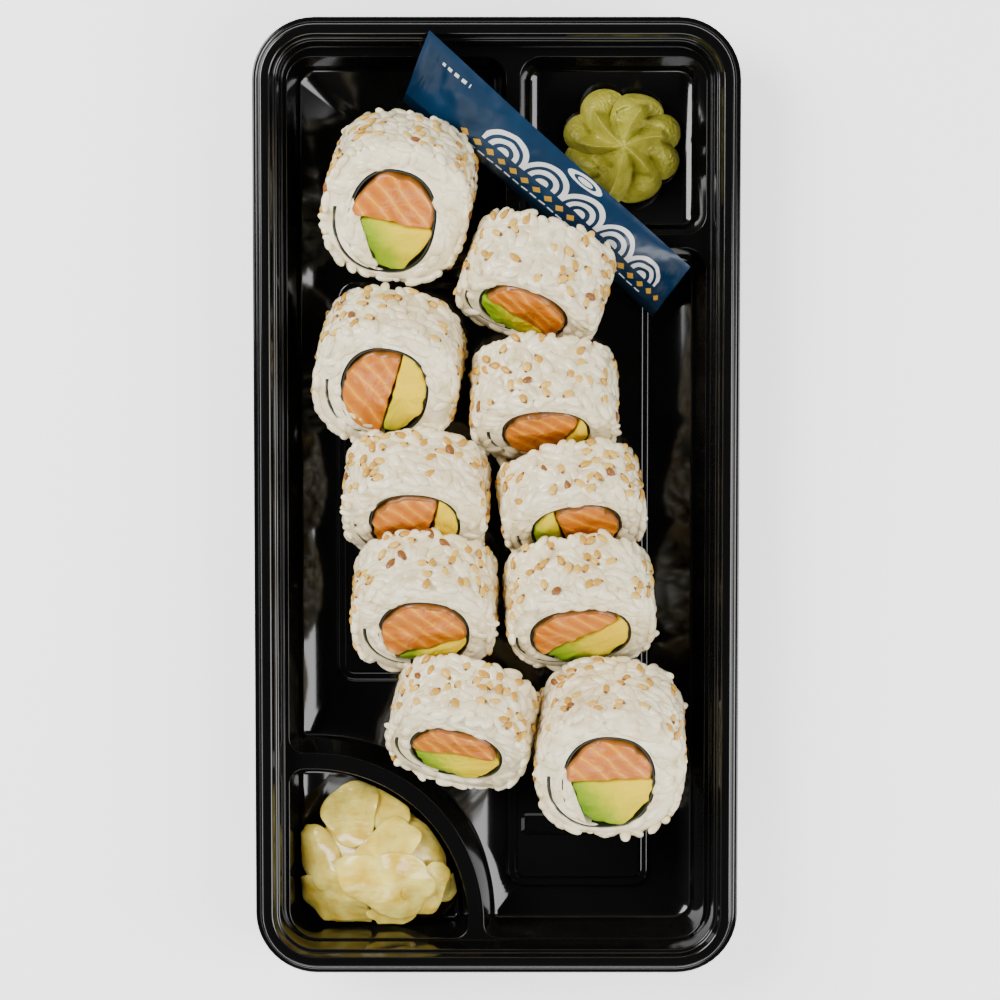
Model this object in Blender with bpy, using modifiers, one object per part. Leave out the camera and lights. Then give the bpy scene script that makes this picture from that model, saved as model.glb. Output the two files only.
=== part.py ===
"""Takeaway sushi tray: a thermoformed black tray that holds ten inside-out rolls, a piped wasabi
rosette, a heap of sliced pickled ginger and a sauce sachet.

Metres, +Z up. The long side runs along Y, the wasabi end is +Y, and the tray stands on z = 0.
Sizes below are in millimetres and are scaled once, when a mesh is made.
"""

import math
import random

import bmesh
import bpy
from mathutils import Matrix, Vector

for old in list(bpy.data.objects):
    bpy.data.objects.remove(old, do_unlink=True)

MM = 0.001
GAP = 0.3            # air between neighbouring solids
SEED = 7             # every random draw starts from this number

# Tray
TRAY_WIDTH = 115.0
TRAY_LENGTH = 227.0
CORNER_RADIUS = 14.7
SHEET = 0.6          # thickness of the formed plastic
LEDGE_Z = 15.0       # tops of the dividers
WELL_FLOOR_Z = 0.6
PLATFORM_Z = 3.1
GROOVE_Z = 1.6
CORNER_STEPS = 4

# The rim from the outer edge inwards: inset from the edge, height
RIM_PROFILE = [(0.0, 19.4), (0.0, 21.5), (1.2, 21.5), (1.9, 24.0), (4.2, 24.0), (5.0, 22.0),
               (5.8, 22.0), (6.6, LEDGE_Z)]
# A well from its edge downwards: inset, height
WELL_PROFILE = [(0.0, LEDGE_Z), (1.7, 2.6), (2.1, 1.2), (2.8, WELL_FLOOR_Z)]
# The raised platform under the rolls: inset, height
PLATFORM_PROFILE = [(0.0, WELL_FLOOR_Z), (0.6, 2.0), (2.4, 2.0), (3.0, PLATFORM_Z)]
GROOVE_PROFILE = [(0.0, PLATFORM_Z), (0.8, GROOVE_Z)]

# Plans of the wells as corners: x, y, radius
MAIN_WELL = [(49.7, -106.4, 7.0), (49.7, 59.4, 5.0), (2.2, 59.4, 5.0), (2.2, 104.5, 5.0),
             (-49.7, 104.5, 6.0), (-49.7, -61.4, 3.5), (-3.0, -61.4, 41.3), (-3.0, -106.4, 3.5)]
WASABI_WELL = [(49.7, 62.6, 5.0), (49.7, 104.5, 6.0), (5.6, 104.5, 5.0), (5.6, 62.6, 6.0)]
GINGER_WELL = [(-6.8, -106.4, 3.5), (-6.8, -65.4, 37.4), (-49.7, -65.4, 3.5), (-49.7, -106.4, 7.0)]
PLATFORM = [(37.4, -96.5, 4.5), (37.4, 52.0, 5.0), (-39.0, 52.0, 5.0), (-39.0, -46.0, 4.5),
            (2.2, -46.0, 3.0), (2.2, -96.5, 4.5)]
GROOVE = [(33.6, -83.4, 1.5), (33.6, -78.0, 1.5), (6.0, -78.0, 1.5), (6.0, -83.4, 1.5)]

# Rolls, each cut from one long roll: place in plan, turn about Z, lean of the cut face from
# upright, length, half width, half height, the hollow in the rice (half width, half height, its
# centre across and up), the side the salmon lies on and how far past the centre it reaches
ROLLS = {
    "left_1": (-22.9, 71.4, -12, 62, 20.6, 17.5, 18.6, (10.4, 13.6, -0.4, -1.9), 92, 0.3),
    "left_2": (-25.4, 31.2, -10, 56, 20.0, 17.4, 17.8, (10.4, 12.6, 0.0, -0.6), 174, 1.9),
    "left_3": (-19.0, 0.6, -3, 40, 17.4, 17.5, 17.4, (10.8, 12.0, 0.0, -0.4), 172, 4.2),
    "left_4": (-17.0, -24.6, -3, 43, 18.8, 17.4, 18.0, (10.8, 12.2, 0.2, -0.6), 116, 5.0),
    "left_5": (-8.0, -53.0, -14, 36, 17.8, 17.4, 18.0, (11.2, 11.4, 0.0, -0.9), 104, 0.4),
    "right_1": (9.2, 51.6, -19, 27, 19.0, 17.4, 17.2, (10.8, 11.4, -0.5, 0.0), 62, 3.0),
    "right_2": (11.2, 23.6, 0, 29, 19.3, 17.6, 17.2, (10.4, 11.4, 0.4, 0.0), 160, 5.2),
    "right_3": (17.7, -0.6, 8, 33, 16.4, 17.3, 17.0, (10.8, 11.4, 0.3, -0.2), 8, 3.6),
    "right_4": (19.7, -24.4, 4, 37, 18.8, 17.9, 17.4, (12.0, 11.8, -0.4, -0.8), 124, 0.4),
    "right_5": (26.9, -58.8, -3, 60, 24.6, 17.9, 19.2, (11.0, 13.6, -0.2, -1.6), 97, -0.6),
}
ROUNDNESS = 2.6      # exponent of the rolls' outline: 2 is a circle, more is squarer
HOLLOW_ROUNDNESS = 2.3
CUT_EDGE = 2.0       # how far the cut edges are rounded off
EDGE_RUN = 2.2       # and over what length of the roll
ROLL_SIDES = 20
GRAIN_RELIEF = 0.9   # rice grains stand out by up to this much
NORI = 0.5
NORI_STEP = 30       # degrees between its points, and between those of the fillings
NORI_START = 236     # where the sheet begins, seen from the cut face, then clockwise
NORI_TURN = 420
NORI_FLARE = 3.7     # how far the sheet's outer end runs out into the rice
FLARE_FROM = 300
FILL_RECESS = 0.25   # fillings end this far behind the cut face
SEED_SIZE = (1.6, 0.95, 0.55)
SEEDS_PER_ROLL = 7
SEED_SPACING = 5.5
SEED_CLEARANCE = 2.2  # from a neighbouring roll
SEED_LOWEST = 8.0
SEED_TRIES = 60

# Wasabi rosette
WASABI_AT = (30.0, 83.6)
WASABI_RADIUS = 14.6
WASABI_HEIGHT = 15.5
WASABI_RIDGES = 6
WASABI_SWIRL = 0.75

# Pickled ginger: centre of the mound, its half sizes and height, then each slice that shows:
# x, y, half length, half width, turn, lift over the mound, bend
GINGER_AT = (-28.6, -89.4)
GINGER_SIZE = (16.4, 13.2, 12.4)
GINGER_SPREAD = (25.0, 20.0)  # where the mound would run out
GINGER_SLICES = [
    (-26.8, -76.4, 6.4, 4.6, -38, 0.9, 0.6),
    (-35.2, -77.0, 7.6, 6.6, 68, 1.4, 0.9),
    (-42.6, -88.4, 9.6, 5.2, -64, 1.0, -0.8),
    (-27.0, -85.0, 9.8, 5.2, 36, 1.9, 0.7),
    (-25.0, -101.4, 6.4, 3.4, 8, 1.3, 0.7),
    (-39.2, -99.4, 10.2, 5.4, -32, 1.2, 0.8),
    (-26.4, -93.2, 12.2, 8.0, -14, 2.8, 0.7),
    (-17.0, -95.4, 7.4, 4.8, 58, 2.0, 0.9),
    (-12.4, -95.6, 4.8, 2.8, 34, 1.1, 0.5),
]
SLICE = 1.0          # thickness of a slice
SLICE_SIDES = 8

# Sauce sachet: its two long edges from the +Y end to the +X end, and how thick it is
SACHET_TOP_EDGE = [(-15.6, 110.0, 26.6), (8.8, 87.6, 26.6), (31.2, 67.8, 25.4), (45.6, 55.0, 23.4)]
SACHET_LOW_EDGE = [(-22.2, 94.2, 13.0), (-2.2, 78.2, 16.2), (18.4, 60.6, 17.6), (37.4, 43.0, 7.5)]
SACHET_ROWS = 12
SACHET_THICKNESS = 4.4
CRIMP = 0.7
CRIMP_LENGTH = 0.09  # of the sachet's length, at each end
SWELL_LENGTH = 0.16  # beyond the crimp


def make_collection(name, shown=True):
    made = bpy.data.collections.new(name)
    bpy.context.scene.collection.children.link(made)
    made.hide_render = not shown
    return made


PARTS = make_collection("sushi_tray")
CUTTERS = make_collection("cutters", shown=False)


def make_material(name, colour, roughness, coat=0.0, subsurface=0.0):
    made = bpy.data.materials.new(name)
    made.use_nodes = True
    surface = made.node_tree.nodes["Principled BSDF"]
    surface.inputs["Base Color"].default_value = (*colour, 1.0)
    surface.inputs["Roughness"].default_value = roughness
    surface.inputs["Metallic"].default_value = 0.0
    surface.inputs["Coat Weight"].default_value = coat
    surface.inputs["Subsurface Weight"].default_value = subsurface
    return made


MATERIALS = {
    "tray_plastic": make_material("tray_plastic", (0.006, 0.006, 0.006), 0.16, coat=0.3),
    "rice": make_material("rice", (0.79, 0.76, 0.66), 0.42, subsurface=0.2),
    "nori": make_material("nori", (0.012, 0.018, 0.012), 0.55),
    "salmon": make_material("salmon", (0.70, 0.30, 0.10), 0.3, subsurface=0.2),
    "avocado": make_material("avocado", (0.66, 0.60, 0.09), 0.4, subsurface=0.1),
    "wasabi": make_material("wasabi", (0.36, 0.35, 0.09), 0.6),
    "ginger": make_material("ginger", (0.80, 0.68, 0.31), 0.3, subsurface=0.3),
    "sachet_film": make_material("sachet_film", (0.012, 0.06, 0.13), 0.25, coat=0.4),
}


def add_object(name, mesh, material, group=None):
    """Make an object of a bmesh whose coordinates are in millimetres."""
    bmesh.ops.scale(mesh, vec=(MM, MM, MM), verts=mesh.verts)
    data = bpy.data.meshes.new(name)
    mesh.to_mesh(data)
    mesh.free()
    if material:
        data.materials.append(MATERIALS[material])
    made = bpy.data.objects.new(name, data)
    (group or PARTS).objects.link(made)
    return made


def boolean(target, operation, cutter=None, group=None, solver="EXACT"):
    """Cut or join, apply, and remove what was cut or joined with."""
    step = target.modifiers.new(operation.lower(), "BOOLEAN")
    step.operation = operation
    step.solver = solver
    if group:
        step.operand_type = "COLLECTION"
        step.collection = group
    else:
        step.object = cutter
    bpy.context.view_layer.update()
    graph = bpy.context.evaluated_depsgraph_get()
    result = bpy.data.meshes.new_from_object(target.evaluated_get(graph))
    target.modifiers.clear()
    target.data = result
    for used in (list(group.objects) if group else [cutter]):
        bpy.data.objects.remove(used, do_unlink=True)
    if group:
        bpy.data.collections.remove(group)


def ring(mesh, points):
    return [mesh.verts.new(point) for point in points]


def bridge(mesh, first, second):
    """Join two closed loops of equal length with quads."""
    count = len(first)
    for i in range(count):
        j = (i + 1) % count
        mesh.faces.new((first[i], first[j], second[j], second[i]))


def fill(mesh, loops):
    """Fill the flat area inside the first loop and outside the others."""
    edges = []
    for loop in loops:
        for i, vert in enumerate(loop):
            ends = (vert, loop[(i + 1) % len(loop)])
            edges.append(mesh.edges.get(ends) or mesh.edges.new(ends))
    bmesh.ops.triangle_fill(mesh, use_beauty=True, edges=edges)


def outline(corners):
    """A closed plan of straight sides with rounded corners; more steps on a wide corner."""
    points = []
    for i, (x, y, radius) in enumerate(corners):
        here = Vector((x, y))
        before = (Vector(corners[i - 1][:2]) - here).normalized()
        after = (Vector(corners[(i + 1) % len(corners)][:2]) - here).normalized()
        half = before.angle(after) / 2
        centre = here + (before + after).normalized() * radius / math.sin(half)
        start = here + before * radius / math.tan(half) - centre
        end = here + after * radius / math.tan(half) - centre
        turn = start.angle_signed(end)
        steps = CORNER_STEPS if radius < 20 else 2 * CORNER_STEPS + 2
        for k in range(steps + 1):
            angle = -turn * k / steps
            points.append(centre + Matrix.Rotation(angle, 2) @ start)
    return points


def inset(points, distance):
    """Move a closed anticlockwise plan inwards by a distance, mitred at its points."""
    moved = []
    for i, here in enumerate(points):
        before = (here - points[i - 1]).normalized()
        after = (points[(i + 1) % len(points)] - here).normalized()
        normal = Vector((-before.y - after.y, before.x + after.x)).normalized()
        moved.append(here + normal * distance / normal.dot(Vector((-before.y, before.x))))
    return moved


def sink(mesh, plan, profile):
    """Loops of one plan down or up a profile; returns the first and the last loop."""
    loops = [ring(mesh, [(p.x, p.y, z) for p in inset(plan, step)]) for step, z in profile]
    for upper, lower in zip(loops, loops[1:]):
        bridge(mesh, upper, lower)
    return loops[0], loops[-1]


def make_tray():
    mesh = bmesh.new()
    half_x, half_y = TRAY_WIDTH / 2, TRAY_LENGTH / 2
    edge = outline([(half_x, -half_y, CORNER_RADIUS), (half_x, half_y, CORNER_RADIUS),
                    (-half_x, half_y, CORNER_RADIUS), (-half_x, -half_y, CORNER_RADIUS)])
    ledge = sink(mesh, edge, RIM_PROFILE)[1]

    main_top, main_floor = sink(mesh, outline(MAIN_WELL), WELL_PROFILE)
    wasabi_top, wasabi_floor = sink(mesh, outline(WASABI_WELL), WELL_PROFILE)
    ginger_top, ginger_floor = sink(mesh, outline(GINGER_WELL), WELL_PROFILE)
    fill(mesh, [ledge, main_top, wasabi_top, ginger_top])
    fill(mesh, [wasabi_floor])
    fill(mesh, [ginger_floor])

    platform_foot, platform_top = sink(mesh, outline(PLATFORM), PLATFORM_PROFILE)
    groove_top, groove_floor = sink(mesh, outline(GROOVE), GROOVE_PROFILE)
    fill(mesh, [main_floor, platform_foot])
    fill(mesh, [platform_top, groove_top])
    fill(mesh, [groove_floor])

    bmesh.ops.recalc_face_normals(mesh, faces=mesh.faces)
    mesh.faces.ensure_lookup_table()
    floor = min(mesh.faces, key=lambda face: face.calc_center_median().z)
    if floor.normal.z < 0:
        bmesh.ops.reverse_faces(mesh, faces=mesh.faces)
    tray = add_object("tray", mesh, "tray_plastic")
    shell = tray.modifiers.new("sheet", "SOLIDIFY")
    shell.thickness = SHEET * MM
    shell.offset = -1
    shell.use_even_offset = True
    return tray


def oval(half_width, half_height, angle, power=ROUNDNESS):
    """A point on a superellipse, by its angle at the centre."""
    across, up = math.cos(angle), math.sin(angle)
    reach = ((abs(across) / half_width) ** power + (abs(up) / half_height) ** power) ** (-1 / power)
    return reach * across, reach * up


class Roll:
    """One piece of roll. Its own axes: X across, -Y out of the cut face, Z up the face."""

    def __init__(self, name, values):
        (x, y, turn, lean, self.length, self.half_width, self.half_height, self.hollow,
         self.salmon_side, self.salmon_reach) = values
        self.name = name
        self.front, self.back = -self.length / 2, self.length / 2
        tilt = (Matrix.Rotation(math.radians(turn), 4, "Z")
                @ Matrix.Rotation(math.radians(-lean), 4, "X"))
        lowest = min((tilt @ Vector((x_side, self.back, z_side))).z
                     for x_side, z_side in (oval(self.half_width, self.half_height, math.radians(k))
                                            for k in range(180, 360)))
        self.place = Matrix.Translation((x, y, PLATFORM_Z + GAP - lowest)) @ tilt
        self.unplace = self.place.inverted()

    def hollow_point(self, angle, grow=0.0):
        half_width, half_height, centre_x, centre_z = self.hollow
        x, z = oval(half_width + grow, half_height + grow, angle, HOLLOW_ROUNDNESS)
        return centre_x + x, centre_z + z

    def holds(self, point, margin):
        """Whether a world point lies in the roll or within a margin of it."""
        x, y, z = self.unplace @ point
        inside = ((abs(x) / (self.half_width + margin)) ** ROUNDNESS
                  + (abs(z) / (self.half_height + margin)) ** ROUNDNESS) < 1
        return inside and abs(y) < self.back + margin


def prism(mesh, front_points, back_points):
    """A closed solid between two loops of equal length."""
    front, back = ring(mesh, front_points), ring(mesh, back_points)
    bridge(mesh, front, back)
    fill(mesh, [front])
    fill(mesh, [back])
    bmesh.ops.recalc_face_normals(mesh, faces=mesh.faces)


def nori_path(roll, first_turn, last_turn):
    """Points along the sheet, which winds clockwise and runs out into the rice at its end."""
    path = []
    for turned in range(first_turn, last_turn + 1, NORI_STEP):
        rise = min(max((turned - FLARE_FROM) / (NORI_TURN - FLARE_FROM), 0.0), 1.0)
        flare = NORI_FLARE * rise * rise * (3 - 2 * rise)
        angle = math.radians(NORI_START - turned)
        path.append(Vector(roll.hollow_point(angle, -GAP - NORI / 2 + flare)))
    return path


def strip(roll, path, thickness, overrun):
    """A thin sheet along a path, through the roll; overrun lengthens it at both cuts."""
    mesh = bmesh.new()
    sides = []
    for i, here in enumerate(path):
        before = path[max(i - 1, 0)]
        after = path[min(i + 1, len(path) - 1)]
        run = (after - before).normalized()
        normal = Vector((-run.y, run.x)) * thickness / 2
        sides.append((here + normal, here - normal))
    columns = [[mesh.verts.new((p.x, y, p.y)) for p, y in
                ((one, roll.front - overrun), (one, roll.back + overrun),
                 (two, roll.back + overrun), (two, roll.front - overrun))]
               for one, two in sides]
    for first, second in zip(columns, columns[1:]):
        bridge(mesh, first, second)
    mesh.faces.new(columns[0])
    mesh.faces.new(columns[-1])
    bmesh.ops.recalc_face_normals(mesh, faces=mesh.faces)
    return mesh


def clip(points, direction, limit):
    """The part of a closed plan that lies past a line."""
    kept = []
    for i, here in enumerate(points):
        ahead = points[(i + 1) % len(points)]
        a, b = here.dot(direction) - limit, ahead.dot(direction) - limit
        if a >= 0:
            kept.append(here)
        if (a > 0) != (b > 0) and a != b:
            kept.append(here.lerp(ahead, a / (a - b)))
    return kept


def make_filling(roll, name, direction, limit, material):
    fill_size = -2 * GAP - NORI
    plan = [Vector(roll.hollow_point(math.radians(NORI_START + turned), fill_size))
            for turned in range(0, 360, NORI_STEP)]
    plan = clip(plan, direction, limit)
    mesh = bmesh.new()
    prism(mesh, [(p.x, roll.front + FILL_RECESS, p.y) for p in plan],
          [(p.x, roll.back - FILL_RECESS, p.y) for p in plan])
    bmesh.ops.transform(mesh, matrix=roll.place, verts=mesh.verts)
    return add_object(name, mesh, material)


def rice_core(roll, draw):
    """A ring of rice as a loft of its own closed profile, with grains as relief."""
    mesh = bmesh.new()
    rows = [(1.0, CUT_EDGE), (1 - EDGE_RUN / roll.length, 0.0), (0.62, 0.0), (0.38, 0.0),
            (EDGE_RUN / roll.length, 0.0), (0.0, CUT_EDGE)]
    columns = []
    for k in range(ROLL_SIDES):
        angle = k * math.tau / ROLL_SIDES
        column = []
        for share, edge in rows:
            relief = draw.uniform(0.0, GRAIN_RELIEF)
            x, z = oval(roll.half_width - edge - relief, roll.half_height - edge - relief, angle)
            column.append((x, roll.front + share * roll.length, z))
        inner_x, inner_z = roll.hollow_point(angle)
        outer_x, _, outer_z = column[-1]
        middle_z = (inner_z + outer_z) / 2
        column.append(((inner_x + outer_x) / 2, roll.front + draw.uniform(0.0, 0.5), middle_z))
        column.append((inner_x, roll.front + 0.2, inner_z))
        column.append((inner_x, roll.back - 0.2, inner_z))
        columns.append(ring(mesh, column))
    for k in range(ROLL_SIDES):
        bridge(mesh, columns[k], columns[(k + 1) % ROLL_SIDES])
    bmesh.ops.recalc_face_normals(mesh, faces=mesh.faces)
    bmesh.ops.transform(mesh, matrix=roll.place, verts=mesh.verts)
    return add_object("rice_" + roll.name, mesh, "rice")


def seed_places(roll, rolls, draw):
    """Even places on the upper sides, left out where a neighbour lies close."""
    places = []
    for k in range(SEED_TRIES):
        angle = math.radians(8 + 164 * ((k * 0.618034) % 1.0))
        share = 0.16 + 0.68 * ((k + 0.5) / SEED_TRIES + draw.uniform(-0.06, 0.06))
        x, z = oval(roll.half_width - GRAIN_RELIEF / 2, roll.half_height - GRAIN_RELIEF / 2, angle)
        here = roll.place @ Vector((x, roll.front + share * roll.length, z))
        near = any(other.holds(here, SEED_CLEARANCE) for other in rolls if other is not roll)
        spread = all((here - there).length > SEED_SPACING for there, _ in places)
        if not near and spread and here.z > SEED_LOWEST:
            places.append((here, angle))
    return places[:SEEDS_PER_ROLL]


def make_seed(group, roll, here, angle, draw):
    mesh = bmesh.new()
    bmesh.ops.create_icosphere(mesh, subdivisions=1, radius=1.0)
    bmesh.ops.scale(mesh, vec=SEED_SIZE, verts=mesh.verts)
    face_up = Matrix.Rotation(draw.uniform(0, math.tau), 4, "Z")
    turn = Matrix.Rotation(math.pi / 2 - angle, 4, "Y")
    place = Matrix.Translation(here) @ roll.place.to_3x3().to_4x4() @ turn @ face_up
    bmesh.ops.transform(mesh, matrix=place, verts=mesh.verts)
    add_object("seed", mesh, None, group)


def make_roll(roll, rolls):
    draw = random.Random(f"{SEED} {roll.name}")
    rice = rice_core(roll, draw)

    # The sheet's outer end lies in a slit in the rice
    slit_path = nori_path(roll, FLARE_FROM, NORI_TURN)
    slit_path.append(slit_path[-1] + (slit_path[-1] - slit_path[-2]).normalized() * GAP)
    slit = strip(roll, slit_path, NORI + 2 * GAP, 4.0)
    bmesh.ops.transform(slit, matrix=roll.place, verts=slit.verts)
    boolean(rice, "DIFFERENCE", cutter=add_object("slit", slit, None, CUTTERS))

    seeds = make_collection("seeds_" + roll.name, shown=False)
    for here, angle in seed_places(roll, rolls, draw):
        make_seed(seeds, roll, here, angle, draw)
    boolean(rice, "UNION", group=seeds)
    keep_largest(rice)

    sheet = strip(roll, nori_path(roll, 0, NORI_TURN), NORI, -0.1)
    bmesh.ops.transform(sheet, matrix=roll.place, verts=sheet.verts)
    add_object("nori_" + roll.name, sheet, "nori")

    side = math.radians(roll.salmon_side)
    direction = Vector((math.cos(side), math.sin(side)))
    middle = Vector(roll.hollow[2:]).dot(direction) - roll.salmon_reach
    make_filling(roll, "salmon_" + roll.name, direction, middle + GAP / 2, "salmon")
    make_filling(roll, "avocado_" + roll.name, -direction, -middle + GAP / 2, "avocado")


def keep_largest(made):
    """Drop loose scraps that a cut or a join leaves."""
    mesh = bmesh.new()
    mesh.from_mesh(made.data)
    left = set(mesh.verts)
    pieces = []
    while left:
        piece, front = set(), [left.pop()]
        while front:
            vert = front.pop()
            piece.add(vert)
            for edge in vert.link_edges:
                other = edge.other_vert(vert)
                if other in left:
                    left.discard(other)
                    front.append(other)
        pieces.append(piece)
    pieces.sort(key=len)
    scraps = [vert for piece in pieces[:-1] for vert in piece]
    bmesh.ops.delete(mesh, geom=scraps, context="VERTS")
    mesh.to_mesh(made.data)
    mesh.free()


def make_wasabi():
    """A piped rosette as a height field on a polar grid, closed below."""
    mesh = bmesh.new()
    sides = 5 * WASABI_RIDGES
    shares = [1.0, 0.97, 0.86, 0.7, 0.52, 0.34, 0.16]
    foot_z = WELL_FLOOR_Z + GAP
    loops = []
    for share in shares:
        loop = []
        for k in range(sides):
            angle = k * math.tau / sides
            wave = math.cos(WASABI_RIDGES * (angle + WASABI_SWIRL * share))
            petal = math.cos((WASABI_RIDGES + 2) * angle + 1.0)
            radius = WASABI_RADIUS * (0.93 + 0.07 * petal) * share
            dome = 1 - share ** 1.7
            ridge = 0.14 * math.sin(math.pi * min(share, 0.9)) * wave
            lip = 0.2 * (1 + petal) * max(0.0, share - 0.6)
            height = WASABI_HEIGHT * max(dome + ridge + lip, 0.16)
            loop.append((WASABI_AT[0] + radius * math.cos(angle),
                         WASABI_AT[1] + radius * math.sin(angle), foot_z + height))
        loops.append(ring(mesh, loop))
    foot = ring(mesh, [(WASABI_AT[0] + 0.9 * (vert.co.x - WASABI_AT[0]),
                        WASABI_AT[1] + 0.9 * (vert.co.y - WASABI_AT[1]), foot_z)
                       for vert in loops[0]])
    bridge(mesh, foot, loops[0])
    for lower, upper in zip(loops, loops[1:]):
        bridge(mesh, lower, upper)
    peak = mesh.verts.new((*WASABI_AT, foot_z + WASABI_HEIGHT * 1.02))
    for i in range(sides):
        mesh.faces.new((loops[-1][i], loops[-1][(i + 1) % sides], peak))
    fill(mesh, [foot])
    bmesh.ops.recalc_face_normals(mesh, faces=mesh.faces)
    add_object("wasabi", mesh, "wasabi")


def mound(x, y):
    """Height of the ginger mound over its floor."""
    reach = math.hypot((x - GINGER_AT[0]) / GINGER_SPREAD[0], (y - GINGER_AT[1]) / GINGER_SPREAD[1])
    return GINGER_SIZE[2] * max(0.12, 1 - reach ** 2)


def inside_ginger_well(x, y, z):
    """Draw a point in from the sloping walls: two straight ones and a quarter circle."""
    right, top, radius = GINGER_WELL[1]
    left, bottom, corner = GINGER_WELL[3]
    slope = WELL_PROFILE[-1][0] / (LEDGE_Z - WELL_FLOOR_Z)
    margin = 2 * GAP + slope * (LEDGE_Z - min(z, LEDGE_Z))
    x, y = max(x, left + margin), max(y, bottom + margin)
    corner_x, corner_y = left + corner - x, bottom + corner - y
    if corner_x > 0 and corner_y > 0:
        pull = min(1.0, max(corner - margin, 0.5) / math.hypot(corner_x, corner_y))
        x, y = left + corner - corner_x * pull, bottom + corner - corner_y * pull
    out_x, out_y = max(x - (right - radius), 0.0), max(y - (top - radius), 0.0)
    reach = math.hypot(out_x, out_y)
    if reach > radius - margin:
        x -= out_x * (1 - (radius - margin) / reach)
        y -= out_y * (1 - (radius - margin) / reach)
    return x, y, z


def make_slice(group, values):
    """A thin wavy slice over the mound, both faces split alike."""
    centre_x, centre_y, long, wide, turn, lift, bend = values
    spin = Matrix.Rotation(math.radians(turn), 2)
    floor = WELL_FLOOR_Z + GAP

    def surface(share, angle):
        ragged = 1 + 0.08 * math.sin(3 * angle + centre_x)
        u, v = share * long * math.cos(angle) * ragged, share * wide * math.sin(angle) * ragged
        across = spin @ Vector((u, v))
        x, y = centre_x + across.x, centre_y + across.y
        wave = bend * (1.6 * (v / wide) ** 2 - 0.8 * share) + 0.5 * math.sin(0.55 * u + centre_y)
        return x, y, floor + mound(x, y) + lift + wave

    mesh = bmesh.new()
    faces = []
    for offset in (-SLICE / 2, SLICE / 2):
        def loop(share):
            points = [surface(share, k * math.tau / SLICE_SIDES) for k in range(SLICE_SIDES)]
            return ring(mesh, [inside_ginger_well(x, y, max(z + offset, floor + SLICE / 2 + offset))
                               for x, y, z in points])
        x, y, z = surface(0.0, 0.0)
        middle = mesh.verts.new((x, y, z + offset))
        inner, outer = loop(0.55), loop(1.0)
        for i in range(SLICE_SIDES):
            j = (i + 1) % SLICE_SIDES
            mesh.faces.new((middle, inner[i], inner[j]))
            mesh.faces.new((inner[i], outer[i], outer[j]))
            mesh.faces.new((inner[i], outer[j], inner[j]))
        faces.append(outer)
    bridge(mesh, faces[0], faces[1])
    bmesh.ops.recalc_face_normals(mesh, faces=mesh.faces)
    add_object("slice", mesh, None, group)


def make_ginger():
    """A heap: a low mound with the slices that show fused on."""
    mesh = bmesh.new()
    floor = WELL_FLOOR_Z + GAP
    sides = 16
    loops = []
    for share in (1.0, 0.72, 0.38):
        points = []
        for k in range(sides):
            angle = k * math.tau / sides
            x = GINGER_AT[0] + GINGER_SIZE[0] * share * math.cos(angle)
            y = GINGER_AT[1] + GINGER_SIZE[1] * share * math.sin(angle)
            points.append(inside_ginger_well(x, y, floor + mound(x, y)))
        loops.append(ring(mesh, points))
    foot = ring(mesh, [inside_ginger_well(vert.co.x, vert.co.y, floor) for vert in loops[0]])
    bridge(mesh, foot, loops[0])
    bridge(mesh, loops[0], loops[1])
    bridge(mesh, loops[1], loops[2])
    top = mesh.verts.new((*GINGER_AT, floor + GINGER_SIZE[2]))
    for i in range(sides):
        mesh.faces.new((loops[2][i], loops[2][(i + 1) % sides], top))
    fill(mesh, [foot])
    bmesh.ops.recalc_face_normals(mesh, faces=mesh.faces)
    ginger = add_object("ginger", mesh, "ginger")
    slices = make_collection("slices", shown=False)
    for values in GINGER_SLICES:
        make_slice(slices, values)
    boolean(ginger, "UNION", group=slices, solver="MANIFOLD")
    keep_largest(ginger)


def edge_point(points, share):
    """A point on a smooth curve through four points."""
    spot = share * (len(points) - 1)
    i = min(int(spot), len(points) - 2)
    t = spot - i
    p = [Vector(points[min(max(i + k, 0), len(points) - 1)]) for k in (-1, 0, 1, 2)]
    return 0.5 * (2 * p[1] + (p[2] - p[0]) * t + (2 * p[0] - 5 * p[1] + 4 * p[2] - p[3]) * t ** 2
                  + (3 * p[1] - p[0] - 3 * p[2] + p[3]) * t ** 3)


def make_sachet():
    """A pillow pack lofted between its two long edges, with flat crimped ends."""
    mesh = bmesh.new()
    loops = []
    for row in range(SACHET_ROWS + 1):
        share = row / SACHET_ROWS
        low, top = edge_point(SACHET_LOW_EDGE, share), edge_point(SACHET_TOP_EDGE, share)
        run = edge_point(SACHET_TOP_EDGE, min(share + 0.05, 1)) - edge_point(
            SACHET_TOP_EDGE, max(share - 0.05, 0))
        normal = run.cross(top - low).normalized()
        from_end = min(share, 1 - share)
        swell = min(max((from_end - CRIMP_LENGTH) / SWELL_LENGTH, 0.0), 1.0)
        thick = CRIMP + (SACHET_THICKNESS - CRIMP) * math.sin(swell * math.pi / 2)
        loop = []
        for across, side in ((0, 1), (0.25, 1), (0.5, 1), (0.75, 1), (1, 1),
                             (1, -1), (0.75, -1), (0.5, -1), (0.25, -1), (0, -1)):
            crown = 1 - (2 * across - 1) ** 2
            half = CRIMP / 2 + (thick - CRIMP) / 2 * crown
            loop.append(low.lerp(top, across) + normal * half * side)
        loops.append(ring(mesh, loop))
    for first, second in zip(loops, loops[1:]):
        bridge(mesh, first, second)
    mesh.faces.new(loops[0])
    mesh.faces.new(loops[-1])
    bmesh.ops.recalc_face_normals(mesh, faces=mesh.faces)
    add_object("sauce_sachet", mesh, "sachet_film")


make_tray()
ALL_ROLLS = [Roll(name, values) for name, values in ROLLS.items()]
for piece in ALL_ROLLS:
    make_roll(piece, ALL_ROLLS)
make_wasabi()
make_ginger()
make_sachet()
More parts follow.
